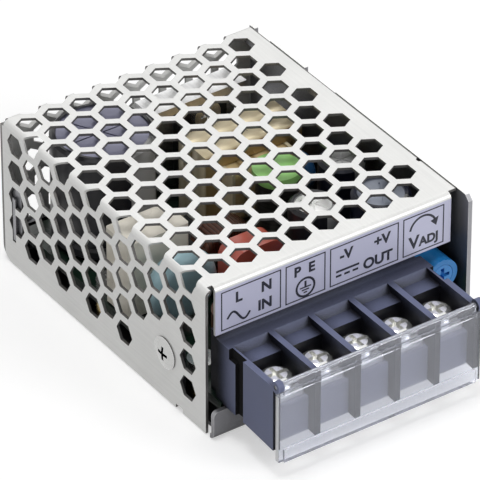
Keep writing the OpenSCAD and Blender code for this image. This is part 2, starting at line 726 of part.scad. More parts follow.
choke_at = [19, 27.3];
choke_size = [5.2, 4, 6.8];
choke_ring = 2.6;
choke_lead = [3, 0];
choke_r = choke_size[0] * fit_r;
choke_w = choke_size[1] * fit_y;
choke_z = choke_size[2] * fit_z;
core_w = choke_ring * fit_r;
wire_t = 0.65;
wire_gap = 0.05;
module at_choke() at_spot(choke_at) translate([0, 0, choke_z]) rotate([90, 0, 0]) children();
module choke_core() color("darkgreen") at_choke() rotate_extrude()
    translate([choke_r - core_w / 2, 0]) rounded(core_w, choke_w, 0.4);
module choke_windings() color("peru") {
    for (a = [30, 210]) at_choke() rotate(a) rotate_extrude(angle = 120)
        translate([choke_r - core_w / 2, 0]) difference() {
            rounded(core_w + 2 * (wire_gap + wire_t), choke_w + 2 * (wire_gap + wire_t), 1);
            rounded(core_w + 2 * wire_gap, choke_w + 2 * wire_gap, 0.45);
        }
    at_spot(choke_at) for (y = [-1, 1]) translate([0, y * (choke_w / 2 + wire_gap + wire_t / 2), 0])
        leads(choke_lead, choke_z - choke_r + core_w / 2);
}

// A dual in-line package, given its width, depth and height and its pins a side
pin_pitch = 2.54;
pin_size = [0.7, 0.6];
module dual_inline(p, size0, pins) at_spot(p) {
    size = fitted(size0);
    translate([0, 0, 0.5]) linear_extrude(size[2]) square([size[0], size[1]], center = true);
    for (side = [-1, 1], k = [0 : pins - 1])
        translate([side * (size[0] / 2 + 0.3) - pin_size[0] / 2,
            (k - (pins - 1) / 2) * pin_pitch * fit_y - pin_size[1] / 2, 0])
                cube([pin_size[0], pin_size[1], 0.5 + size[2] / 2]);
}
bridge_at = [11.1, 37.8];
bridge_size = [7, 6.4, 3.2];
switcher_at = [19.1, 37.8];
switcher_size = [6, 9.4, 3.3];
optocoupler_at = [26.2, 25.2];
optocoupler_size = [3.6, 4.6, 3.2];
module bridge_rectifier() color("black") dual_inline(bridge_at, bridge_size, 2);
module switcher_ic() color("black") dual_inline(switcher_at, switcher_size, 4);
module optocoupler() color("whitesmoke") dual_inline(optocoupler_at, optocoupler_size, 2);

snubber_at = [18.4, 18.3];
snubber_lead = [3.2, 0];
snubber_size = [9.8, 4.6, 12];
snubber_lift = 2.2;
module snubber_capacitor() color("firebrick") at_spot(snubber_at) {
    size = fitted(snubber_size);
    translate([0, 0, snubber_lift]) along_y(-size[1] / 2, size[1] / 2)
        translate([0, size[2] / 2]) rounded(size[0], size[2], size[0] / 4);
    leads(snubber_lead, snubber_lift + 0.4);
}

shunt_at = [36.55, 20.5];
shunt_size = [2.3, 4.6];
shunt_lift = 2;
module shunt_regulator() color("black") at_spot(shunt_at) {
    r = shunt_size[0] * fit_r;
    translate([0, 0, shunt_lift]) linear_extrude(shunt_size[1] * fit_z) difference() {
        circle(r);
        rect(-r - 1, r + 1, -r - 1, -r * 0.56);
    }
    for (x = [-1, 0, 1]) translate([x * r * 0.55, 0, 0])
        cylinder(r = lead_r, h = shunt_lift + 0.1, $fn = 24);
}

// The transformer: a core round a bobbin that lies along X
transformer_at = [33.2, 42.7];
transformer_size = [19.4, 8.2, 15.8];
transformer_lift = 0.8;
outer_leg = 2.6;
centre_leg = 4.2;
core_end = 3;
core_at = spot(transformer_at);
core_size = fitted(transformer_size);
core_z = board_top + transformer_lift;
core_leg = outer_leg * fit_z;
core_centre = centre_leg * fit_z;
core_back_t = core_end * fit_x;
bobbin_t = 0.6;
core_mid = core_z + core_size[2] / 2;
window_l = core_size[0] - 2 * core_back_t;
window_h = (core_size[2] - 2 * core_leg - core_centre) / 2;
winding_t = window_h - bobbin_t - 0.35;
module transformer_core() color("dimgray") translate([core_at[0], core_at[1], core_mid])
    along_y(-core_size[1] / 2, core_size[1] / 2) difference() {
        square([core_size[0], core_size[2]], center = true);
        for (side = [-1, 1]) translate([0, side * (core_centre + window_h) / 2])
            square([window_l, window_h], center = true);
    }
spool_gap = 0.1;
spool_w = core_size[1] + 2 * spool_gap;
spool_h = core_centre + 2 * spool_gap;
cheek_x = window_l / 2 - spool_gap - bobbin_t / 2;
foot_w = 3;
foot_h = 6;
foot_y = core_size[1] / 2 + foot_w / 2 + 0.4;
module transformer_bobbin() color("black") translate([core_at[0], core_at[1], core_mid]) {
    // the tube and its two cheeks
    difference() {
        union() {
            cube([window_l - 2 * spool_gap, spool_w + 2 * bobbin_t, spool_h + 2 * bobbin_t],
                center = true);
            for (side = [-1, 1]) translate([side * cheek_x, 0, 0])
                cube([bobbin_t, spool_w + 2 * (bobbin_t + winding_t) + 0.4,
                    core_centre + 2 * (window_h - spool_gap)], center = true);
        }
        cube([window_l + 1, spool_w, spool_h], center = true);
    }
    // feet beside the core, each on two pins
    for (side = [-1, 1], y = [-1, 1]) {
        translate([side * cheek_x - bobbin_t / 2, y * foot_y - foot_w / 2,
            board_top + 0.5 - core_mid]) cube([bobbin_t, foot_w, foot_h * fit_z]);
        for (p = [-0.9, 0.9]) translate([side * cheek_x, y * foot_y + p, board_top - core_mid])
            cylinder(r = bobbin_t / 2 - cut, h = 0.6, $fn = 24);
    }
}
module transformer_winding() color("khaki") translate([core_at[0], core_at[1], core_mid])
    rotate([90, 0, 90]) translate([0, 0, -window_l / 2 + spool_gap + bobbin_t + wire_gap])
        linear_extrude(window_l - 2 * (spool_gap + bobbin_t + wire_gap)) difference() {
            rounded(spool_w + 2 * (bobbin_t + winding_t), spool_h + 2 * (bobbin_t + winding_t), 1.2);
            square([spool_w + 2 * (bobbin_t + cut), spool_h + 2 * (bobbin_t + cut)],
                center = true);
        }

// The heat sink, and the rectifier screwed to its front
sink_span = [[21.65, 55.6], [40.85, 55.6]];
sink_size = [1.5, 3.6, 18.6];
rectifier_spot = [33.35, 55.6];
rectifier_body = [10, 4.5, 14.5];
rectifier_foot = 2.5;
rectifier_hole = 14;
rectifier_tab_t = 1.3;
sink_screw_r = 1.45;
sink_screw_head = [2.6, 1.8];
sink_from = spot(sink_span[0]);
sink_to = spot(sink_span[1]);
sink_y = sink_from[1];
sink_t = sink_size[0];
sink_flange = sink_size[1] * fit_y;
sink_h = sink_size[2] * fit_z;
rectifier_at = spot(rectifier_spot);
rectifier_size = fitted(rectifier_body);
rectifier_lift = rectifier_foot * fit_z;
tab_hole_h = rectifier_hole * fit_z;
sink_head = [sink_screw_head[0] * min(fit_r, fit_z), sink_screw_head[1]];
module heat_sink() color("lightgray") difference() {
    along_x(sink_from[0], sink_to[0]) translate([sink_y, board_top]) {
        rect(0, sink_t, 0, sink_h);
        rect(-sink_flange, cut, sink_h - sink_t, sink_h);
    }
    translate([rectifier_at[0], sink_y - 1, board_top + tab_hole_h]) rotate([-90, 0, 0])
        cylinder(r = sink_screw_r + wire_gap, h = sink_t + 2);
}
module output_rectifier() color("black") translate([rectifier_at[0], sink_y, board_top]) {
    difference() {
        translate([-rectifier_size[0] / 2, -rectifier_tab_t, rectifier_lift])
            cube([rectifier_size[0], rectifier_tab_t, rectifier_size[2]]);
        translate([0, 1, tab_hole_h]) rotate([90, 0, 0])
            cylinder(r = sink_screw_r + 0.25, h = 4);
    }
    translate([-rectifier_size[0] / 2, -rectifier_size[1], rectifier_lift])
        cube([rectifier_size[0], rectifier_size[1] - rectifier_tab_t + 0.1,
            rectifier_size[2] * 0.6]);
    for (x = [-1, 0, 1]) translate([x * rectifier_size[0] / 4 - 0.4, -2.8, 0])
        cube([0.8, 0.5, rectifier_lift + 0.1]);
}
module heat_sink_screw() color("silver")
    translate([rectifier_at[0], sink_y - rectifier_tab_t, board_top + tab_hole_h])
        rotate([90, 0, 0]) difference() {
            union() {
                cylinder(r = sink_head[0], h = sink_head[1]);
                translate([0, 0, -rectifier_tab_t - sink_t - 1])
                    cylinder(r = sink_screw_r, h = rectifier_tab_t + sink_t + 1.1);
            }
            translate([0, 0, sink_head[1]]) cross_recess(2.8, 0.5, 1);
        }

// A choke in a sleeve that grips its waist between two cheeks
output_choke_at = [32.2, 30.6];
output_choke_size = [4.2, 16];
output_choke_lead = [2.5, 0];
module output_choke() color("limegreen") at_spot(output_choke_at) {
    r = output_choke_size[0] * fit_r;
    h = output_choke_size[1] * fit_z;
    translate([0, 0, can_lift]) rotate_extrude() polygon([[0, 0], [r, 0], [r, 1.2],
        [r - 0.6, 1.4], [r - 0.6, h - 1.4], [r, h - 1.2], [r, h], [0, h]]);
    leads(output_choke_lead, can_lift + cut);
}

// Axial resistors lying on the board: their places, and whether each lies along Y
resistors_at = [[44.35, 33.9], [44.35, 49.3], [32.75, 24.1], [24.65, 33.4]];
lies_along_y = [true, true, false, true];
resistor_l = 6.2;
resistor_z = 1.15;
module resistors() color("burlywood") for (i = [0 : len(resistors_at) - 1])
        at_spot(resistors_at[i]) rotate(lies_along_y[i] ? 90 : 0) {
    half = resistor_l * fit_r / 2;
    translate([0, 0, resistor_z]) rotate([0, 90, 0]) rotate_extrude() polygon([[0, -half],
        [0.9, -half], [1.1, -half + 0.4], [1.1, -half + 1.2], [0.9, -half + 1.5],
        [0.9, half - 1.5], [1.1, half - 1.2], [1.1, half - 0.4], [0.9, half], [0, half]]);
    for (side = [-1, 1]) translate([side * (half + lead_r - 0.1) - lead_r, -lead_r, 0])
        cube([2 * lead_r, 2 * lead_r, resistor_z + lead_r]);
}

chassis();
mesh_cover();
cover_screw();
insulating_sheet();
board_standoffs();
circuit_board();
board_screws();
terminal_block();
terminal_plates();
terminal_cover();
terminal_screw(0);  // terminal_screw_1
terminal_screw(1);  // terminal_screw_2
terminal_screw(2);  // terminal_screw_3
terminal_screw(3);  // terminal_screw_4
terminal_screw(4);  // terminal_screw_5
clamp_washer(0);  // clamp_washer_1
clamp_washer(1);  // clamp_washer_2
clamp_washer(2);  // clamp_washer_3
clamp_washer(3);  // clamp_washer_4
clamp_washer(4);  // clamp_washer_5
trimmer_body();
trimmer_rotor();
pilot_lamp();
fuse();
varistor();
thermistor();
x_capacitor();
choke_core();
choke_windings();
bridge_rectifier();
bulk_capacitor();
switcher_ic();
transformer_core();
transformer_bobbin();
transformer_winding();
snubber_capacitor();
y_capacitors();
output_rectifier();
heat_sink();
heat_sink_screw();
output_choke();
output_capacitor();
filter_capacitor();
auxiliary_capacitor();
optocoupler();
shunt_regulator();
resistors();
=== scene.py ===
import math

import bmesh
import bpy
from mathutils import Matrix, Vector


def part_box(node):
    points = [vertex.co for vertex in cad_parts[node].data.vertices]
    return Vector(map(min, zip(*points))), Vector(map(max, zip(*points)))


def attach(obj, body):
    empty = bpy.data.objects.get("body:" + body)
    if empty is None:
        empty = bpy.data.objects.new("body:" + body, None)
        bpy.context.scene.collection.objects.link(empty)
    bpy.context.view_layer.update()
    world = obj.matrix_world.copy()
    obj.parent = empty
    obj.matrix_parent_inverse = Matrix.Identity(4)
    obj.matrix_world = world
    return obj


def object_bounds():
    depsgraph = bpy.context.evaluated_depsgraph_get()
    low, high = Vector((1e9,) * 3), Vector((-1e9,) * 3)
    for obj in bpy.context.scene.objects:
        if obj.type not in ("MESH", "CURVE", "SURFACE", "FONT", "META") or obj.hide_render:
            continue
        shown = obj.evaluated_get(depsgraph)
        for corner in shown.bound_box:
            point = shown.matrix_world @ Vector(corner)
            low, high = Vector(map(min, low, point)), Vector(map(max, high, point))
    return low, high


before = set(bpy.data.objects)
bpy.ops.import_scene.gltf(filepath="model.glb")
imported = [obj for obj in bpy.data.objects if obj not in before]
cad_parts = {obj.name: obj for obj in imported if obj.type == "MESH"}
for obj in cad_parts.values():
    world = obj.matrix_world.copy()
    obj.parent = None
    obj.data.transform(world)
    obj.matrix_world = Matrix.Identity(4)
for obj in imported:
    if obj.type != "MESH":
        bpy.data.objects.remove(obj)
cad_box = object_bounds()

MM = 0.001
X, Y, Z = 0, 1, 2
CASE, CLEAR_COVER = "case", "clear_cover"
POLES = 5


# ---------- camera ----------

CAMERA_TURN, CAMERA_RISE = -34.59, 35.09  # degrees: round from the front, and up
CAMERA_DISTANCE = 0.9056
CAMERA_AIM = Vector((-1.40, -3.79, 14.0)) * MM
CAMERA_LENS, CAMERA_SENSOR = 412.5, 36
CAMERA_NEAR, CAMERA_FAR = 0.01, 20


def make_camera():
    """The camera stands in front and to the left, above the case."""
    turn, rise = math.radians(CAMERA_TURN), math.radians(CAMERA_RISE)
    back = Vector((math.sin(turn) * math.cos(rise), -math.cos(turn) * math.cos(rise),
                   math.sin(rise)))
    data = bpy.data.cameras.new("camera")
    data.lens, data.sensor_width = CAMERA_LENS, CAMERA_SENSOR
    data.clip_start, data.clip_end = CAMERA_NEAR, CAMERA_FAR
    camera = bpy.data.objects.new("camera", data)
    camera.location = CAMERA_AIM + back * CAMERA_DISTANCE
    camera.rotation_euler = (-back).to_track_quat("-Z", "Y").to_euler()
    bpy.context.scene.collection.objects.link(camera)
    bpy.context.scene.camera = camera


# ---------- node helpers ----------

FLOAT, COLOUR = "NodeSocketFloat", "NodeSocketColor"


def plug(tree, socket, value):
    """Links a socket from another one, or sets it to a plain value."""
    if isinstance(value, bpy.types.NodeSocket):
        tree.links.new(value, socket)
    else:
        socket.default_value = value


def fill(tree, node, **inputs):
    """Plugs a node's inputs by name; an underscore stands for a space."""
    for name, value in inputs.items():
        plug(tree, node.inputs[name.replace("_", " ")], value)


def add(tree, kind, inputs=None, **properties):
    """Adds a node, with its inputs plugged by name or by number."""
    node = tree.nodes.new(kind)
    for name, value in properties.items():
        setattr(node, name, value)
    for key, value in (inputs or {}).items():
        plug(tree, node.inputs[key], value)
    return node


def maths(tree, operation, *values, clamp=False):
    return add(tree, "ShaderNodeMath", dict(enumerate(values)), operation=operation,
               use_clamp=clamp).outputs[0]


def plus(tree, first, second):
    return maths(tree, "ADD", first, second)


def both(tree, first, second):
    """The product: of two masks, where both hold."""
    return maths(tree, "MULTIPLY", first, second)


def either(tree, first, second):
    return maths(tree, "MAXIMUM", first, second)


def over(tree, value, limit):
    return maths(tree, "GREATER_THAN", value, limit)


def under(tree, value, limit):
    return maths(tree, "LESS_THAN", value, limit)


def ramp(tree, value, low, high, to_low=0.0, to_high=1.0):
    return add(tree, "ShaderNodeMapRange", {"Value": value, "From Min": low, "From Max": high,
                                            "To Min": to_low, "To Max": to_high}).outputs[0]


def spread(tree, noise_value, to_low=0.0, to_high=1.0):
    """Stretches the middle of a noise's range, where most of it lies."""
    return ramp(tree, noise_value, 0.3, 0.7, to_low, to_high)


def mix_colour(tree, factor, first, second, blend="MIX"):
    return add(tree, "ShaderNodeMix", {0: factor, 6: first, 7: second}, data_type="RGBA",
               blend_type=blend).outputs[2]


def mix_value(tree, factor, first, second):
    return add(tree, "ShaderNodeMix", {0: factor, 2: first, 3: second},
               data_type="FLOAT").outputs[0]


def toned(tree, colour, level):
    """A colour made lighter or darker by a level, which is 1 where it stays."""
    shade = add(tree, "ShaderNodeCombineColor", {0: level, 1: level, 2: level}).outputs[0]
    return mix_colour(tree, 1.0, colour, shade, "MULTIPLY")


def rgba(colour):
    return (*colour, 1.0)


def place_on(tree):
    """Where a point is, in metres."""
    return add(tree, "ShaderNodeTexCoord").outputs["Object"]


def split(tree, vector):
    return add(tree, "ShaderNodeSeparateXYZ", {0: vector}).outputs


def noise(tree, place, scale, detail, roughness=0.5):
    return add(tree, "ShaderNodeTexNoise", {"Vector": place, "Scale": scale, "Detail": detail,
                                            "Roughness": roughness}).outputs[0]


def bump(tree, height, distance, strength):
    return add(tree, "ShaderNodeBump", {"Height": height, "Distance": distance,
                                        "Strength": strength}).outputs[0]


def new_material(name):
    material = bpy.data.materials.new(name)
    material.use_nodes = True
    return material, material.node_tree, material.node_tree.nodes["Principled BSDF"]


def shader_group(name, inputs, outputs):
    """A node group with its inputs given as {name: default} and its outputs as {name: kind}."""
    tree = bpy.data.node_groups.new(name, "ShaderNodeTree")
    for socket, default in inputs.items():
        kind = COLOUR if isinstance(default, tuple) else FLOAT
        item = tree.interface.new_socket(socket, in_out="INPUT", socket_type=kind)
        item.default_value = default
    for socket, kind in outputs.items():
        tree.interface.new_socket(socket, in_out="OUTPUT", socket_type=kind)
    return tree, tree.nodes.new("NodeGroupInput").outputs, tree.nodes.new("NodeGroupOutput")


def use(tree, group, **inputs):
    """Places a group in a material, with the values it takes there."""
    node = tree.nodes.new("ShaderNodeGroup")
    node.node_tree = group
    fill(tree, node, **inputs)
    return node.outputs


# ---------- effects that several materials share ----------

def rolled_sheet_group():
    """Rolled and plated sheet: long faint streaks, cloudy plating and fine handling marks."""
    tree, given, out = shader_group(
        "rolled_sheet", {"Colour": (0.8, 0.8, 0.8, 1.0), "Streaks": 0.5, "Clouds": 0.5,
                         "Roughness": 0.3},
        {"Colour": COLOUR, "Roughness": FLOAT, "Height": FLOAT})
    place = place_on(tree)
    long_way = add(tree, "ShaderNodeMapping", {"Vector": place, "Scale": (2600, 70, 2600)})
    streak = noise(tree, long_way.outputs[0], scale=1.0, detail=3.0, roughness=0.6)
    cloud = noise(tree, place, scale=95.0, detail=4.0, roughness=0.55)
    speck = noise(tree, place, scale=2400.0, detail=2.0)
    tone = plus(tree, both(tree, spread(tree, cloud, -0.10, 0.06), given["Clouds"]),
                both(tree, spread(tree, streak, -0.06, 0.05), given["Streaks"]))
    haze = both(tree, spread(tree, cloud, -0.05, 0.09), given["Clouds"])
    fill(tree, out, Colour=toned(tree, given["Colour"], plus(tree, tone, 1.0)),
         Roughness=plus(tree, given["Roughness"], haze),
         Height=plus(tree, both(tree, streak, 0.4), speck))
    return tree


def moulded_group():
    """Moulded plastic: fine spark-eroded grain and a faint uneven tone."""
    tree, given, out = shader_group(
        "moulded_plastic", {"Colour": (0.5, 0.5, 0.5, 1.0), "Grain": 2500.0, "Tone": 0.5,
                            "Roughness": 0.4},
        {"Colour": COLOUR, "Roughness": FLOAT, "Height": FLOAT})
    place = place_on(tree)
    flow = noise(tree, place, scale=160.0, detail=3.0)
    tone = both(tree, spread(tree, flow, -0.12, 0.12), given["Tone"])
    fill(tree, out, Colour=toned(tree, given["Colour"], plus(tree, 1.0, tone)),
         Roughness=plus(tree, given["Roughness"], spread(tree, flow, -0.04, 0.06)),
         Height=noise(tree, place, scale=given["Grain"], detail=2.0))
    return tree


def edge_group():
    """A mask that is bright along edges: wear, and a painted highlight where rounded edges catch
    the light.
    """
    tree, given, out = shader_group("edge_wear_and_highlight", {"Width": 0.3 * MM, "Breakup": 0.5},
                                    {"Mask": FLOAT})
    round_normal = add(tree, "ShaderNodeBevel", {"Radius": given["Width"]}, samples=6).outputs[0]
    true_normal = add(tree, "ShaderNodeNewGeometry").outputs["Normal"]
    facing = add(tree, "ShaderNodeVectorMath", {0: round_normal, 1: true_normal},
                 operation="DOT_PRODUCT").outputs["Value"]
    patch = ramp(tree, noise(tree, place_on(tree), scale=900.0, detail=3.0), 0.4, 0.6)
    whole = maths(tree, "SUBTRACT", 1.0, both(tree, given["Breakup"], patch))
    fill(tree, out, Mask=maths(tree, "MULTIPLY", ramp(tree, facing, 0.98, 0.75), whole,
                               clamp=True))
    return tree


def turns_group():
    """Rows of wound wire or wrapped tape along one axis, and where painted shade lies between the
    turns.
    """
    tree, given, out = shader_group("wound_turns", {"Place": 0.0, "Pitch": 0.5 * MM},
                                    {"Height": FLOAT, "Groove": FLOAT})
    phase = maths(tree, "FRACT", maths(tree, "DIVIDE", given["Place"], given["Pitch"]))
    crown = maths(tree, "SINE", both(tree, phase, math.pi))
    fill(tree, out, Height=crown, Groove=ramp(tree, crown, 0.5, 0.0))
    return tree


def recess_group():
    """A mask that is dark in wells and slots, and under things that stand close by."""
    tree, given, out = shader_group("recess_shade", {"Reach": 6 * MM, "Dark At": 0.25,
                                                     "Clear At": 0.85}, {"Open": FLOAT})
    shade = add(tree, "ShaderNodeAmbientOcclusion", {"Distance": given["Reach"]}, samples=6)
    fill(tree, out, Open=ramp(tree, shade.outputs["AO"], given["Dark At"], given["Clear At"]))
    return tree


ROLLED_SHEET = rolled_sheet_group()
MOULDED = moulded_group()
EDGE_WEAR_AND_HIGHLIGHT = edge_group()
TURNS = turns_group()
RECESS = recess_group()


# ---------- where a finish changes on a piece ----------

TOP_HIGHLIGHT_H = 0.08 * MM  # painted highlight along the top edge of the chassis wall
COVER_SKIN = 0.55 * MM    # the cover's sheet, in from its outer face
RIM_W, RIM_H = 0.20 * MM, 0.60 * MM  # painted shadow line along the cover's right edge
WALL_LEAN = 0.25          # a hole's wall leans off its sheet's normal by less than this
SLOT_IN = (0.05 * MM, 0.75 * MM)  # how deep the block's end slots lie in its end walls
SLOT_START, SLOT_END, POCKET_END = 9.9 * MM, 12.2 * MM, 14.0 * MM  # back from the block's front
POCKET_H = 3.3 * MM       # the pocket behind a slot, down from the block's top
FLANGE_IN = 0.1 * MM      # how far the flange lies behind the front of the cover's side
LABEL_IN, LABEL_UNDER = 1.9 * MM, 0.9 * MM  # from the cover's left side, and under its top
LABEL_SKIN = 0.05 * MM    # how deep the label's colour reaches into the flange


def flange_face():
    """The Y of the label flange's outer face, and where its label starts and ends."""
    low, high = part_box("mesh_cover")
    return low.y + FLANGE_IN, low.x + LABEL_IN, high.z - LABEL_UNDER


FLANGE_Y, LABEL_LEFT, LABEL_TOP = flange_face()


def beyond(tree, axis, limit):
    """One where a point lies beyond a limit along X, Y or Z."""
    return over(tree, split(tree, place_on(tree))[axis], limit)


def top_highlight_mask(tree):
    """Marks the top edge of the chassis wall, where a highlight is painted."""
    return beyond(tree, Z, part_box("chassis")[1].z - TOP_HIGHLIGHT_H)


def rim_shadow_mask(tree):
    """Marks the right edge of the cover's top, where a line of shadow is painted."""
    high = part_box("mesh_cover")[1]
    return both(tree, beyond(tree, X, high.x - RIM_W), beyond(tree, Z, high.z - RIM_H))


def label_mask(tree):
    """Marks the outer face of the label flange."""
    place = split(tree, place_on(tree))
    front = under(tree, place[Y], FLANGE_Y + LABEL_SKIN)
    within = over(tree, place[X], LABEL_LEFT)
    return both(tree, both(tree, front, within), under(tree, place[Z], LABEL_TOP))


def hole_wall_shade_mask(tree):
    """Marks the punched walls of the cover's holes, where shade is painted."""
    low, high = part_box("mesh_cover")
    place = split(tree, place_on(tree))
    facing = split(tree, add(tree, "ShaderNodeTexCoord").outputs["Normal"])
    mask = 0.0
    for axis, sheet in ((Z, over(tree, place[Z], high.z - COVER_SKIN)),
                        (X, under(tree, place[X], low.x + COVER_SKIN)),
                        (Y, over(tree, place[Y], high.y - COVER_SKIN))):
        wall = under(tree, maths(tree, "ABSOLUTE", facing[axis]), WALL_LEAN)
        mask = either(tree, mask, both(tree, sheet, wall))
    return mask


def end_slot_shade_mask(tree):
    """Marks the narrow grooves down both end walls of the terminal block, where near-black shade
    is painted.
    """
    low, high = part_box("terminal_block")
    place = split(tree, place_on(tree))
    depth = maths(tree, "MINIMUM", maths(tree, "SUBTRACT", place[X], low.x),
                  maths(tree, "SUBTRACT", high.x, place[X]))
    within = both(tree, over(tree, depth, SLOT_IN[0]), under(tree, depth, SLOT_IN[1]))
    pocket = both(tree, under(tree, place[Y], low.y + POCKET_END),
                  over(tree, place[Z], high.z - POCKET_H))
    along = both(tree, either(tree, under(tree, place[Y], low.y + SLOT_END), pocket),
                 over(tree, place[Y], low.y + SLOT_START))
    return both(tree, within, along)


# ---------- colours ----------

# each *_EDGE colour is the paler colour of worn edges, and of a painted highlight on them
# the third zinc colour is painted shade, on the holes' walls and along the cover's right edge
ZINC, ZINC_EDGE, ZINC_SHADE = (0.79, 0.79, 0.775), (0.90, 0.90, 0.89), (0.17, 0.165, 0.16)
LABEL_VIOLET = (0.62, 0.625, 0.80)
STEEL, STEEL_SHADOW = (0.34, 0.34, 0.36), (0.02, 0.02, 0.024)
DULL_NICKEL, DULL_NICKEL_EDGE = (0.58, 0.58, 0.57), (0.9, 0.9, 0.9)
NICKEL, WASHER_NICKEL, NICKEL_EDGE = (0.88, 0.88, 0.86), (0.94, 0.94, 0.92), (1.0, 1.0, 0.98)
TIN, TIN_EDGE = (0.85, 0.83, 0.76), (0.95, 0.93, 0.85)
BRASS, BRASS_EDGE = (0.80, 0.62, 0.30), (0.9, 0.75, 0.45)
ALUMINIUM, ALUMINIUM_EDGE = (0.78, 0.78, 0.78), (0.92, 0.92, 0.92)
CROSS_SHADOW = (0.03, 0.03, 0.03)

# the second slate is the block's own colour painted paler, as painted light on the bay walls
SLATE, LIT_SLATE = (0.148, 0.167, 0.272), (0.27, 0.28, 0.36)
# painted shade for the terminal block: in its recesses, and near black in its end slots
SLATE_SHADOW, SLOT_SHADE = (0.003, 0.003, 0.006), (0.0015, 0.0015, 0.002)
HAZE_THIN, HAZE_THICK = (0.82, 0.84, 0.93), (0.88, 0.90, 0.97)
# the pale colours of the painted highlight on the clear cover's ends
GLINT_DULL, GLINT_BRIGHT = (0.90, 0.91, 0.95), (1.0, 1.0, 1.0)
TRIMMER_BLUE, ROTOR_BLUE = (0.02, 0.22, 0.58), (0.04, 0.26, 0.66)
LAMP_GREEN = (0.05, 0.45, 0.08)
INK, WORN_INK = (0.014, 0.015, 0.03), (0.09, 0.09, 0.13)

PAPER_BLACK, CHIP_BLACK = (0.02, 0.02, 0.022), (0.016, 0.016, 0.018)
MASK_GREEN, MASK_LINE = (0.012, 0.055, 0.028), (0.006, 0.028, 0.013)
MASK_SHADOW = (0.002, 0.006, 0.004)
FUSE_BROWN, RESISTOR_TAN = (0.10, 0.04, 0.02), (0.52, 0.38, 0.20)
DISC_TEAL, DISC_OLIVE = (0.38, 0.58, 0.64), (0.02, 0.035, 0.02)
CREAM, WHITE = (0.95, 0.90, 0.79), (0.75, 0.74, 0.68)
# each *_GROOVE colour is painted shade in the grooves between turns
FERRITE, WIRE, WIRE_GROOVE = (0.03, 0.05, 0.03), (0.10, 0.035, 0.02), (0.015, 0.008, 0.005)
CORE_TAPE, CORE_GROOVE = (0.95, 0.83, 0.58), (0.42, 0.30, 0.14)
WINDING_TAPE, WINDING_GROOVE = (0.78, 0.60, 0.32), (0.36, 0.24, 0.10)
BOBBIN = (0.80, 0.72, 0.52)
DIP_RED, DIP_BLUE = (0.66, 0.13, 0.09), (0.03, 0.13, 0.33)
CHOKE_TOP_GREEN = (0.42, 0.86, 0.26)
CHOKE_BLACK, CHOKE_GROOVE = (0.03, 0.03, 0.028), (0.004, 0.004, 0.004)

# each can's sleeve, the stripe down it and its bare top
# the bulk can's top is painted a dark violet grey, darker than its bare aluminium, as painted
# shade and reflection
BULK_CAN = (0.012, 0.012, 0.016), (0.42, 0.42, 0.42), (0.25, 0.25, 0.34)
OUTPUT_CAN = (0.012, 0.014, 0.03), (0.4, 0.4, 0.4), (0.36, 0.39, 0.46)
FILTER_CAN = (0.012, 0.014, 0.03), (0.4, 0.4, 0.4), (0.66, 0.66, 0.66)
AUXILIARY_CAN = (0.02, 0.02, 0.025), (0.5, 0.5, 0.5), (0.97, 0.97, 0.96)


# ---------- finishes ----------

# how high a surface's relief stands, in metres
FAINT, FINE, GRAINED, DIPPED, ETCHED = 0.000004, 0.00001, 0.000012, 0.00003, 0.00004
EDGE_GAIN, EDGE_LIFT = 1.5, 0.05  # how much paler a moulding's edges are painted than its faces: wear and a painted highlight
BEAD_H = 1.3 * MM         # height of the bead along the clear cover's top


def shaded(tree, colour, reach, dark, dark_at=0.25, clear_at=0.8):
    """A colour that falls off to a darker one in recesses of the given reach."""
    opened = use(tree, RECESS, Reach=reach, Dark_At=dark_at, Clear_At=clear_at)["Open"]
    return mix_colour(tree, opened, rgba(dark), colour)


def plated(name, colour, edge_colour, roughness, streaks=0.5, clouds=0.5, metallic=1.0,
           recess=None, tip=None):
    """Bright plated metal, painted paler along its edges for wear and a painted highlight."""
    material, tree, bsdf = new_material(name)
    finish = use(tree, ROLLED_SHEET, Colour=rgba(colour), Roughness=roughness, Streaks=streaks,
                 Clouds=clouds)
    # edges painted paler: wear, and a painted highlight
    edge_light_and_wear = use(tree, EDGE_WEAR_AND_HIGHLIGHT, Width=0.18 * MM, Breakup=0.4)["Mask"]
    coat = mix_colour(tree, edge_light_and_wear, finish["Colour"], rgba(edge_colour))
    if recess:
        coat = shaded(tree, coat, **recess)
    # a painted highlight, in the edge colour, where the tip mask holds
    if tip:
        coat = mix_colour(tree, tip(tree), coat, rgba(edge_colour))
    fill(tree, bsdf, Metallic=metallic, Base_Color=coat, Roughness=finish["Roughness"],
         Normal=bump(tree, finish["Height"], FAINT, strength=0.35))
    return material


def cover_sheet(colour, edge_colour, cut, label):
    """Zinc-plated cover sheet: a satin white-grey, painted shade on the punched walls and the
    right edge, a printed label.
    """
    material, tree, bsdf = new_material("cover_sheet")
    finish = use(tree, ROLLED_SHEET, Colour=rgba(colour), Roughness=0.36, Streaks=0.6,
                 Clouds=0.5)
    # hole rims and edges painted paler: wear, and a painted highlight
    edge_light_and_wear = use(tree, EDGE_WEAR_AND_HIGHLIGHT, Width=0.12 * MM, Breakup=0.4)["Mask"]
    sheet = mix_colour(tree, both(tree, edge_light_and_wear, 0.6), finish["Colour"], rgba(edge_colour))
    # the cut colour is painted shade: on the holes' punched walls, and in a line along the right
    # edge
    walls = either(tree, hole_wall_shade_mask(tree), rim_shadow_mask(tree))
    bare = mix_colour(tree, walls, sheet, rgba(cut))
    printed = label_mask(tree)
    fill(tree, bsdf, Base_Color=mix_colour(tree, printed, bare, rgba(label)),
         Metallic=ramp(tree, printed, 0.0, 1.0, 0.30, 0.10),
         Roughness=mix_value(tree, printed, finish["Roughness"], 0.42),
         Normal=bump(tree, finish["Height"], FAINT, strength=0.4))
    return material


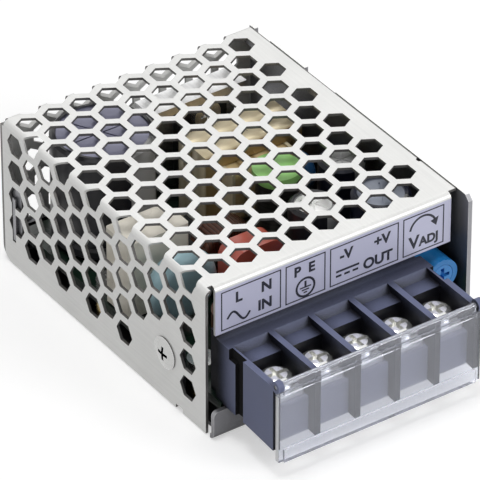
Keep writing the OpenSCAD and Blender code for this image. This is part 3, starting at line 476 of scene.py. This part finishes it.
def plastic(name, colour, roughness, grain=2500.0, depth=GRAINED, edge=0.25,
            coat=0.0, recess=None, slots=None, specular=0.5):
    """Moulded plastic with a grain, and edges painted a little paler for wear and a painted
    highlight.
    """
    material, tree, bsdf = new_material(name)
    finish = use(tree, MOULDED, Colour=rgba(colour), Roughness=roughness, Grain=grain, Tone=0.5)
    # edges painted paler: wear, and a painted highlight
    edge_light_and_wear = use(tree, EDGE_WEAR_AND_HIGHLIGHT, Width=0.2 * MM, Breakup=0.3)["Mask"]
    paler = rgba([min(1.0, part * EDGE_GAIN + EDGE_LIFT) for part in colour])
    skin = mix_colour(tree, both(tree, edge_light_and_wear, edge), finish["Colour"], paler)
    if recess:
        skin = shaded(tree, skin, **recess)
    rough = finish["Roughness"]
    # painted shade: the end slots are painted near black
    if slots:
        narrow = slots(tree)
        skin = mix_colour(tree, narrow, skin, rgba(SLOT_SHADE))
        rough = either(tree, rough, narrow)
    fill(tree, bsdf, Base_Color=skin, Roughness=rough, Specular_IOR_Level=specular,
         Coat_Weight=coat, Coat_Roughness=0.1,
         Normal=bump(tree, finish["Height"], depth, strength=0.5))
    return material


def clear_plastic(thin, thick):
    """Clear moulding with a milky violet haze, glossier on the bead along its top."""
    material, tree, bsdf = new_material("clear_plastic")
    flow = noise(tree, place_on(tree), scale=110.0, detail=2.0)
    bead = beyond(tree, Z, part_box("terminal_cover")[1].z - BEAD_H)
    rough = maths(tree, "SUBTRACT", spread(tree, flow, 0.12, 0.16), both(tree, bead, 0.08))
    fill(tree, bsdf, Base_Color=mix_colour(tree, spread(tree, flow), rgba(thin), rgba(thick)),
         Roughness=rough, IOR=1.49, Specular_IOR_Level=0.2, Metallic=0.0,
         Transmission_Weight=0.88, Normal=bump(tree, flow, FAINT, strength=0.1))
    return material


def edge_glint_plastic(dull, bright):
    """A pale, rough finish on the clear cover's ends, as a painted highlight."""
    material, tree, bsdf = new_material("edge_glint")
    glint_grain = noise(tree, place_on(tree), scale=1800.0, detail=3.0)
    fill(tree, bsdf, Base_Color=mix_colour(tree, spread(tree, glint_grain), rgba(dull), rgba(bright)),
         Roughness=spread(tree, glint_grain, 0.35, 0.55), Normal=bump(tree, glint_grain, FINE, strength=0.4))
    return material


FOLD_W = 1.0 * MM         # how far a can's sleeve folds over its top
FOLD_H, FOLD_BLUR = 0.8 * MM, 0.2 * MM  # how far it lies below the top, and its soft edge
STRIPE_AT, STRIPE_HALF = -1.2, 0.4  # radians round the can


def sleeved_can(name, node, sleeve, stripe, top, metallic=0.4):
    """An electrolytic can: a shrink sleeve round it, folded over the rim of a bare top."""
    low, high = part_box(node)
    centre = (low + high) / 2
    radius, rise = (high.x - low.x) / 2, high.z - centre.z
    material, tree, bsdf = new_material(name)
    from_axis = split(tree, add(tree, "ShaderNodeVectorMath",
                                {0: place_on(tree), 1: tuple(centre)},
                                operation="SUBTRACT").outputs[0])
    away = maths(tree, "SQRT", plus(tree, both(tree, from_axis[X], from_axis[X]),
                                    both(tree, from_axis[Y], from_axis[Y])))
    bare = both(tree, ramp(tree, from_axis[Z], rise - FOLD_H, rise - FOLD_H + FOLD_BLUR),
                ramp(tree, away, radius - FOLD_W, radius - FOLD_W - FOLD_BLUR))
    finish = use(tree, MOULDED, Colour=rgba(sleeve), Roughness=0.32, Grain=900.0, Tone=0.4)
    sheet = use(tree, ROLLED_SHEET, Colour=rgba(top), Roughness=0.34)
    angle = maths(tree, "ARCTAN2", from_axis[Y], from_axis[X])
    off = maths(tree, "ABSOLUTE", maths(tree, "SUBTRACT", angle, STRIPE_AT))
    coat = mix_colour(tree, under(tree, off, STRIPE_HALF), finish["Colour"], rgba(stripe))
    fill(tree, bsdf, Base_Color=mix_colour(tree, bare, coat, sheet["Colour"]),
         Metallic=both(tree, bare, metallic), Roughness=0.34,
         Normal=bump(tree, finish["Height"], FINE, strength=0.4))
    return material


TURN_DEPTH = 0.2          # relief of a turn, as a share of its pitch


def wound(name, colour, groove_shade, axis, pitch, roughness, metallic=0.0):
    """Tape or wire wound in close turns along X, Y or Z, with painted shade in the grooves between
    turns.
    """
    material, tree, bsdf = new_material(name)
    rows = use(tree, TURNS, Place=split(tree, place_on(tree))[axis], Pitch=pitch)
    finish = use(tree, MOULDED, Colour=rgba(colour), Roughness=roughness, Grain=1200.0, Tone=0.6)
    fill(tree, bsdf, Base_Color=mix_colour(tree, rows["Groove"], finish["Colour"], rgba(groove_shade)),
         Roughness=finish["Roughness"], Metallic=metallic,
         Normal=bump(tree, rows["Height"], pitch * TURN_DEPTH, strength=0.6))
    return material


def topped(name, node, colour, below, groove_shade, depth):
    """A wound core in one colour over its top few mm, and darker below, with painted shade between
    its turns.
    """
    material, tree, bsdf = new_material(name)
    height = split(tree, place_on(tree))[Z]
    finish = use(tree, MOULDED, Colour=rgba(colour), Roughness=0.3, Grain=900.0, Tone=0.6)
    rows = use(tree, TURNS, Place=height, Pitch=0.8 * MM)
    core = mix_colour(tree, rows["Groove"], rgba(below), rgba(groove_shade))
    upper = over(tree, height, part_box(node)[1].z - depth)
    fill(tree, bsdf, Base_Color=mix_colour(tree, upper, core, finish["Colour"]),
         Roughness=finish["Roughness"], Normal=bump(tree, finish["Height"], FINE, strength=0.4))
    return material


def solder_mask(over_copper, between, shadow):
    """Green solder mask over copper areas, with narrow darker lines between them."""
    material, tree, bsdf = new_material("solder_mask")
    cells = add(tree, "ShaderNodeTexVoronoi", {"Vector": place_on(tree), "Scale": 260.0},
                feature="DISTANCE_TO_EDGE").outputs["Distance"]
    copper = ramp(tree, cells, 0.03, 0.07)
    finish = use(tree, MOULDED, Colour=rgba(over_copper), Roughness=0.3, Tone=0.8)
    mask = mix_colour(tree, copper, rgba(between), finish["Colour"])
    fill(tree, bsdf, Base_Color=shaded(tree, mask, 12 * MM, shadow),
         Roughness=finish["Roughness"], Coat_Weight=0.3, Coat_Roughness=0.15,
         Normal=bump(tree, copper, ETCHED, strength=0.5))
    return material


def print_ink(dark, worn):
    """Dark screen-printed ink, slightly worn."""
    material, tree, bsdf = new_material("print_ink")
    rubbed = ramp(tree, noise(tree, place_on(tree), scale=1500.0, detail=3.0), 0.62, 0.75)
    fill(tree, bsdf, Base_Color=mix_colour(tree, rubbed, rgba(dark), rgba(worn)), Roughness=0.55)
    return material


# ---------- which node has which finish ----------

def paint(material, *nodes):
    for name in nodes:
        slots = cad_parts[name].data.materials
        slots.clear()
        slots.append(material)


def of_each_pole(stem):
    return [f"{stem}_{k}" for k in range(1, POLES + 1)]


def dress_case():
    paint(cover_sheet(ZINC, ZINC_EDGE, ZINC_SHADE, LABEL_VIOLET), "mesh_cover")
    # the chassis has a painted highlight along its wall's top edge, and painted shade in its
    # recesses
    paint(plated("chassis_sheet", STEEL, ZINC_EDGE, roughness=0.34, metallic=0.5,
                 tip=top_highlight_mask, recess={"reach": 10 * MM, "dark": STEEL_SHADOW}),
          "chassis")
    paint(plated("cover_screw_plate", DULL_NICKEL, DULL_NICKEL_EDGE, roughness=0.24, metallic=0.85,
                 recess={"reach": 1.2 * MM, "dark": CROSS_SHADOW, "dark_at": 0.5,
                         "clear_at": 0.95}), "cover_screw")
    paint(plastic("fish_paper", PAPER_BLACK, roughness=0.5, grain=1500.0), "insulating_sheet")
    paint(plated("turned_brass", BRASS, BRASS_EDGE, roughness=0.25), "board_standoffs")


def dress_terminals():
    paint(plated("screw_plate", NICKEL, NICKEL_EDGE, roughness=0.20, clouds=0.3, metallic=0.85),
          *of_each_pole("terminal_screw"), "board_screws", "heat_sink_screw")
    paint(plated("washer_plate", WASHER_NICKEL, NICKEL_EDGE, roughness=0.30, clouds=0.3,
                 metallic=0.4), *of_each_pole("clamp_washer"))
    paint(plated("tinned_brass", TIN, TIN_EDGE, roughness=0.2), "terminal_plates")
    paint(plastic("block_moulding", SLATE, roughness=0.50, grain=3200.0, edge=0.5, specular=0.25,
                  slots=end_slot_shade_mask, recess={"reach": 6 * MM, "dark": SLATE_SHADOW,
                                               "dark_at": 0.66, "clear_at": 1.0}),
          "terminal_block")
    paint(clear_plastic(HAZE_THIN, HAZE_THICK), "terminal_cover")
    paint(plastic("trimmer_moulding", TRIMMER_BLUE, roughness=0.3), "trimmer_body")
    paint(plastic("rotor_moulding", ROTOR_BLUE, roughness=0.32), "trimmer_rotor")
    paint(plastic("lamp_resin", LAMP_GREEN, roughness=0.12, depth=0.0, coat=0.6), "pilot_lamp")


def dress_board():
    paint(solder_mask(MASK_GREEN, MASK_LINE, MASK_SHADOW), "circuit_board")
    paint(plated("mill_aluminium", ALUMINIUM, ALUMINIUM_EDGE, roughness=0.34, streaks=1.5),
          "heat_sink")
    paint(plastic("black_moulding", CHIP_BLACK, roughness=0.45, grain=2000.0),
          "bridge_rectifier", "switcher_ic", "output_rectifier", "shunt_regulator")
    paint(plastic("white_moulding", WHITE, roughness=0.4), "optocoupler")
    paint(plastic("resistor_lacquer", RESISTOR_TAN, roughness=0.3), "resistors")
    paint(plastic("fuse_moulding", FUSE_BROWN, roughness=0.35), "fuse")
    paint(plastic("varistor_coat", DISC_TEAL, roughness=0.28, grain=700.0, depth=DIPPED),
          "varistor")
    paint(plastic("thermistor_coat", DISC_OLIVE, roughness=0.35, grain=800.0, depth=DIPPED),
          "thermistor")
    paint(plastic("cream_box", CREAM, roughness=0.3), "x_capacitor")
    paint(plastic("red_dip", DIP_RED, roughness=0.22, grain=600.0, depth=DIPPED, coat=0.4),
          "snubber_capacitor")
    paint(plastic("blue_dip", DIP_BLUE, roughness=0.28, grain=700.0, depth=DIPPED), "y_capacitors")
    paint(sleeved_can("bulk_sleeve", "bulk_capacitor", *BULK_CAN), "bulk_capacitor")
    paint(sleeved_can("output_sleeve", "output_capacitor", *OUTPUT_CAN), "output_capacitor")
    paint(sleeved_can("filter_sleeve", "filter_capacitor", *FILTER_CAN), "filter_capacitor")
    paint(sleeved_can("auxiliary_sleeve", "auxiliary_capacitor", *AUXILIARY_CAN, metallic=0.95),
          "auxiliary_capacitor")


def dress_wound_parts():
    paint(plastic("choke_ferrite", FERRITE, roughness=0.5, grain=1800.0), "choke_core")
    paint(wound("choke_wire", WIRE, WIRE_GROOVE, axis=X, pitch=0.6 * MM, roughness=0.25,
                metallic=0.3),
          "choke_windings")
    paint(topped("green_sleeve", "output_choke", CHOKE_TOP_GREEN, CHOKE_BLACK, CHOKE_GROOVE,
                 depth=2.2 * MM), "output_choke")
    paint(wound("core_tape", CORE_TAPE, CORE_GROOVE, axis=Y, pitch=4.3 * MM, roughness=0.30,
                metallic=0.35),
          "transformer_core")
    paint(plastic("bobbin_moulding", BOBBIN, roughness=0.4), "transformer_bobbin")
    paint(wound("winding_tape", WINDING_TAPE, WINDING_GROOVE, axis=X, pitch=3.2 * MM,
                roughness=0.3), "transformer_winding")


# ---------- small mouldings ----------

def piece(name, mesh, body, material):
    obj = bpy.data.objects.new(name, mesh)
    bpy.context.scene.collection.objects.link(obj)
    mesh.materials.append(material)
    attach(obj, body)


def mesh_from(name, bm):
    mesh = bpy.data.meshes.new(name)
    bmesh.ops.recalc_face_normals(bm, faces=bm.faces)
    bm.to_mesh(mesh)
    bm.free()
    return mesh


def block_of(bm, low, high, bevel):
    """A plate between two corners, with all its edges eased."""
    made = bmesh.ops.create_cube(bm, size=1.0)["verts"]
    size, middle = high - low, (low + high) / 2
    for vert in made:
        vert.co = Vector(c * s for c, s in zip(vert.co, size)) + middle
    edges = {edge for vert in made for edge in vert.link_edges}
    bmesh.ops.bevel(bm, geom=list(edges), offset=bevel, segments=2, affect="EDGES",
                    clamp_overlap=True)


PARTITION_T = 1.1 * MM    # thickness of the walls between the poles
BAY_LAP = 0.05 * MM       # how far a bay's wall runs into the partitions beside it
BAY_FOOT = 0.05 * MM      # above the block's foot
BAY_FRONT, BAY_BACK = 1.25 * MM, 0.15 * MM  # both in front of the terminal plates
BAY_GAP = 0.1 * MM        # under the top of the plates
BAY_BEVEL = 0.2 * MM


def make_bay_walls():
    """The low front wall that closes each bay of the terminal block under its plate, in a paler
    copy of the block's slate as painted light.
    """
    low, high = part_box("terminal_block")
    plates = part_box("terminal_plates")
    pitch = (high.x - low.x - PARTITION_T) / POLES
    bm = bmesh.new()
    for k in range(POLES):
        left = low.x + PARTITION_T + k * pitch
        right = left + pitch - PARTITION_T
        block_of(bm, Vector((left - BAY_LAP, plates[0].y - BAY_FRONT, low.z + BAY_FOOT)),
                 Vector((right + BAY_LAP, plates[0].y - BAY_BACK, plates[1].z - BAY_GAP)),
                 BAY_BEVEL)
    # the bay walls are the block's moulding in a paler colour, as painted light
    piece("bay_walls", mesh_from("bay_walls", bm), CASE,
          plastic("bay_wall_moulding", LIT_SLATE, roughness=0.5, grain=3200.0, edge=0.3))


# a thin pale plate at each end of the clear cover, as a painted highlight
GLINT_T = 0.04 * MM
GLINT_LEFT, GLINT_RIGHT = 0.4 * MM, 0.2 * MM  # in from the ends of the terminal block
GLINT_FRONT, GLINT_BACK = 0.95 * MM, 0.15 * MM  # in front of the clear cover's back
GLINT_FOOT = 0.1 * MM      # above the clear cover's foot
GLINT_TOP = 10.8 * MM     # above the block's foot
GLINT_BEVEL = 0.01 * MM


def make_edge_glints():
    """Thin pale plates on the clear cover's ends: a painted highlight where the ends catch the
    light.
    """
    low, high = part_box("terminal_cover")
    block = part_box("terminal_block")
    bm = bmesh.new()
    for left in (block[0].x + GLINT_LEFT - GLINT_T, block[1].x - GLINT_RIGHT):
        block_of(bm, Vector((left, high.y - GLINT_FRONT, low.z + GLINT_FOOT)),
                 Vector((left + GLINT_T, high.y - GLINT_BACK, block[0].z + GLINT_TOP)),
                 GLINT_BEVEL)
    piece("edge_glints", mesh_from("edge_glints", bm), CLEAR_COVER,
          edge_glint_plastic(GLINT_DULL, GLINT_BRIGHT))


# ---------- legend on the label flange ----------

INK_T = 0.02 * MM
BOX_LINE, FINE_LINE, SIGN_LINE = 0.22 * MM, 0.26 * MM, 0.40 * MM
CAPITAL = 0.70            # height of a capital letter, as a share of the letters' size
LETTER_WEIGHT = 0.10 * MM  # added round each letter's outline
SHARPEST = 0.35           # keeps a sharp corner's mitre short

# from here on the legend's places are in mm: X along the flange, and Z above the floor
BOX_Z = (19.2, 26.5)
BOXES = ((-22.3, -10.9), (-9.8, -2.2), (-1.1, 12.3), (13.4, 21.4))
# text, X, Z and height
WORDS = (("L", -19.0, 23.7, 1.9), ("N", -13.6, 23.7, 1.9), ("IN", -13.9, 20.3, 1.9),
         ("P", -7.6, 23.9, 1.8), ("E", -4.8, 23.9, 1.8),
         ("-V", 2.0, 23.6, 1.9), ("+V", 9.1, 23.6, 1.9), ("OUT", 8.3, 20.0, 1.9),
         ("V", 15.5, 20.2, 2.3), ("ADJ", 18.5, 20.2, 1.6))


def on_flange(point, level):
    return Vector((point.x, FLANGE_Y - level, point.y))


def at(x, z):
    return Vector((x, z)) * MM


def ribbon(bm, points, width, closed=False):
    """A flat printed line with mitred corners through points on the flange."""
    count = len(points)
    rails = []
    for i, point in enumerate(points):
        before = points[(i - 1) % count] if closed or i else None
        after = points[(i + 1) % count] if closed or i < count - 1 else None
        into = (point - before).normalized() if before is not None else None
        out = (after - point).normalized() if after is not None else None
        into, out = into or out, out or into
        normal = Vector((-(into + out).y, (into + out).x)).normalized()
        reach = width / 2 / max(SHARPEST, normal.dot(Vector((-into.y, into.x))))
        rails.append([bm.verts.new(on_flange(point + normal * side * reach, level))
                      for side, level in ((-1, 0), (1, 0), (1, INK_T), (-1, INK_T))])
    for near, far in zip(rails, rails[1:] + rails[:1] if closed else rails[1:]):
        for k in range(4):
            bm.faces.new((near[k - 1], near[k], far[k], far[k - 1]))
    if not closed:
        bm.faces.new(rails[0])
        bm.faces.new(rails[-1])


def arc(centre, radius, start, end, steps):
    """Points on an arc, with angles in degrees anticlockwise from the right."""
    return [centre + radius * Vector((math.cos(math.radians(a)), math.sin(math.radians(a))))
            for a in (start + (end - start) * i / steps for i in range(steps + 1))]


def arrowhead(bm, corners):
    """A filled triangle of ink."""
    below, above = ([bm.verts.new(on_flange(corner, level)) for corner in corners]
                    for level in (0, INK_T))
    bm.faces.new(below)
    bm.faces.new(above)
    for k in range(3):
        bm.faces.new((below[k - 1], below[k], above[k], above[k - 1]))


def word(text, x, z, height):
    """A word centred on x, standing on z, cut as a thin plate of letters."""
    curve = bpy.data.curves.new(f"letters_{text}", "FONT")
    curve.body = text
    curve.size = height * MM / CAPITAL
    curve.align_x = "CENTER"
    curve.extrude = INK_T / 2
    curve.offset = LETTER_WEIGHT
    obj = bpy.data.objects.new(f"letters_{text}", curve)
    bpy.context.scene.collection.objects.link(obj)
    obj.location = (x * MM, FLANGE_Y - INK_T / 2, z * MM)
    obj.rotation_euler = (math.pi / 2, 0, 0)
    bpy.context.view_layer.update()
    mesh = bpy.data.meshes.new_from_object(obj.evaluated_get(
        bpy.context.evaluated_depsgraph_get()))
    mesh.transform(obj.matrix_world)
    bpy.data.objects.remove(obj)
    return mesh


def draw_alternating_sign(bm):
    middle, width, swing, steps = at(-19.0, 21.0), 4.4, 1.05, 24
    ribbon(bm, [middle + at(width * (t / steps - 0.5), swing * math.sin(2 * math.pi * t / steps))
                for t in range(steps + 1)], SIGN_LINE)


def draw_earth_sign(bm):
    middle = at(-6.0, 21.2)
    ribbon(bm, arc(middle, radius=1.75 * MM, start=0, end=345, steps=23), SIGN_LINE, closed=True)
    ribbon(bm, [middle + at(0, 1.2), middle], SIGN_LINE)
    for drop, half in ((0.0, 1.1), (0.5, 0.72), (1.0, 0.35)):
        ribbon(bm, [middle + at(-half, -drop), middle + at(half, -drop)], FINE_LINE)


def draw_direct_sign(bm):
    line_z, dash_z, length, dash, step = 21.6, 20.7, 4.6, 1.1, 1.65
    ribbon(bm, [at(0.0, line_z), at(length, line_z)], SIGN_LINE)
    for k in range(3):
        ribbon(bm, [at(step * k, dash_z), at(step * k + dash, dash_z)], SIGN_LINE)


def draw_turning_arrow(bm):
    """The way the trimmer turns."""
    middle = at(17.3, 23.3)
    ribbon(bm, arc(middle, radius=2.6 * MM, start=170, end=25, steps=24), SIGN_LINE)
    tip = middle + at(2.65, -0.25)
    arrowhead(bm, [tip, tip + at(0.45, 1.7), tip + at(-1.15, 1.2)])


def draw_legend():
    bm = bmesh.new()
    low, high = BOX_Z
    for left, right in BOXES:
        ribbon(bm, [at(left, low), at(right, low), at(right, high), at(left, high)], BOX_LINE,
               closed=True)
    draw_alternating_sign(bm)
    draw_earth_sign(bm)
    draw_direct_sign(bm)
    draw_turning_arrow(bm)
    for text, x, z, height in WORDS:
        bm.from_mesh(word(text, x, z, height))
    piece("legend_print", mesh_from("legend_print", bm), CASE, print_ink(INK, WORN_INK))


# ---------- stage ----------

FLOOR_HALF, FLOOR_GAP = 3.0, 0.02 * MM
PAPER, PAPER_GLOW = (0.66, 0.66, 0.66), 0.50
WORLD_LIGHT, WORLD_SEEN = 0.34, 1.0
LAMP_AIM = Vector((0, 0, 0.01))
# name, place, size and watts
LAMPS = (("key_lamp", (-0.08, 0.0, 0.85), 0.28, 2.3),
         ("back_lamp", (0.30, 0.40, 0.60), 0.35, 0.4),
         ("front_fill", (0.40, -0.75, 0.42), 0.40, 3.0))


def area_lamp(name, place, size, power):
    data = bpy.data.lights.new(name, "AREA")
    data.shape, data.size, data.energy = "DISK", size, power
    obj = bpy.data.objects.new(name, data)
    obj.location = place
    obj.rotation_euler = (LAMP_AIM - Vector(place)).to_track_quat("-Z", "Y").to_euler()
    bpy.context.scene.collection.objects.link(obj)


def seen_directly(tree):
    """One where the camera sees a surface itself, or in metal or through glass."""
    path = add(tree, "ShaderNodeLightPath").outputs
    return either(tree, path["Is Camera Ray"],
                  either(tree, path["Is Glossy Ray"], path["Is Transmission Ray"]))


def floor_paper():
    material, tree, bsdf = new_material("floor_paper")
    fill(tree, bsdf, Base_Color=rgba(PAPER), Roughness=0.9, Specular_IOR_Level=0.0,
         Emission_Color=(1.0, 1.0, 1.0, 1.0),
         Emission_Strength=both(tree, seen_directly(tree), PAPER_GLOW))
    return material


def make_stage():
    bm = bmesh.new()
    bmesh.ops.create_grid(bm, x_segments=1, y_segments=1, size=FLOOR_HALF)
    mesh = mesh_from("floor", bm)
    floor = bpy.data.objects.new("floor", mesh)
    floor.location.z = cad_box[0][2] - FLOOR_GAP
    bpy.context.scene.collection.objects.link(floor)
    mesh.materials.append(floor_paper())

    world = bpy.data.worlds.new("soft_studio")
    world.use_nodes = True
    bpy.context.scene.world = world
    tree = world.node_tree
    fill(tree, tree.nodes["Background"], Color=(1, 1, 1, 1),
         Strength=ramp(tree, seen_directly(tree), 0.0, 1.0, WORLD_LIGHT, WORLD_SEEN))
    for lamp in LAMPS:
        area_lamp(*lamp)
    bpy.context.scene.view_settings.view_transform = "Standard"


make_camera()
dress_case()
dress_terminals()
dress_board()
dress_wound_parts()
draw_legend()
make_bay_walls()
make_edge_glints()
make_stage()
